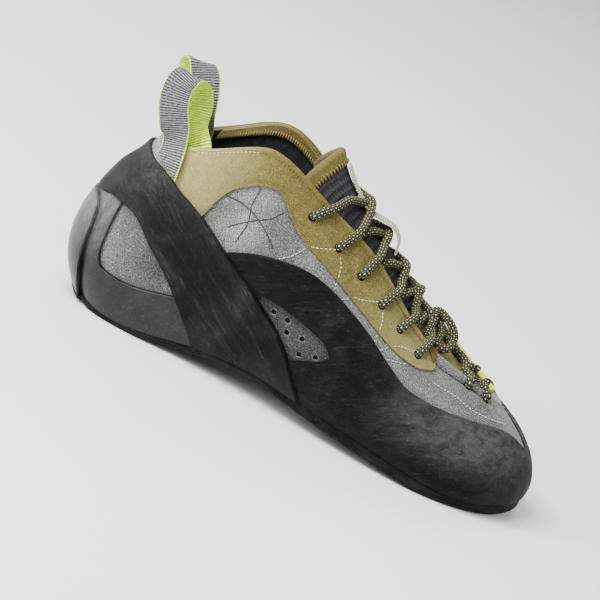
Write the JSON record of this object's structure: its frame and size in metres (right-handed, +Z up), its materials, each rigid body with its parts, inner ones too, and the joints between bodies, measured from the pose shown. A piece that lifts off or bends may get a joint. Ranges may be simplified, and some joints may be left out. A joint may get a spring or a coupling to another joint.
{
  "type": "lace-up climbing shoe",
  "caption": "Right lace-up climbing shoe with a hollow suede upper, rubber rands and heel band, rubber sole, tongue, laces and heel pull loops.",
  "frame": {"origin": "centre of the heel's flat spot on the floor", "axes": "+X to the toe, +Y to the inner side of the foot, +Z up"},
  "size_m": [0.2568, 0.0881, 0.129],
  "materials": {
    "grey_suede": "matt salt-and-pepper grey suede",
    "olive_suede": "matt olive suede with stitched edges",
    "rand_rubber": "satin black rubber, lightly scuffed",
    "band_rubber": "smooth satin black rubber",
    "sole_rubber": "buffed black rubber",
    "insole_board": "matt black lined footbed",
    "tongue_mesh": "black ribbed mesh, olive suede binding and lower end",
    "keeper_webbing": "pale olive flat webbing",
    "lemon_trim": "lemon cloth edging",
    "loop_webbing": "ribbed dark grey webbing, lime edges and lining",
    "lace_cord": "round braided dark lace with grey and yellow flecks"
  },
  "bodies": {
    "root": {"collar_panel_inner": "olive_suede", "collar_panel_outer": "olive_suede", "forefoot_outsole": "sole_rubber", "heel_outsole": "sole_rubber", "heel_rand": "rand_rubber", "insole": "insole_board", "lace_crossing_1": "lace_cord", "lace_crossing_2": "lace_cord", "lace_crossing_3": "lace_cord", "lace_crossing_4": "lace_cord", "lace_crossing_5": "lace_cord", "lace_crossing_6": "lace_cord", "lace_crossing_7": "lace_cord", "pull_loop_inner": "loop_webbing", "pull_loop_outer": "loop_webbing", "rand": "rand_rubber", "slingshot_band": "band_rubber", "throat_trim": "lemon_trim", "tongue": "tongue_mesh", "tongue_keeper": "keeper_webbing", "upper": "grey_suede", "waist_rubber": "sole_rubber"}
  },
  "joints": []
}
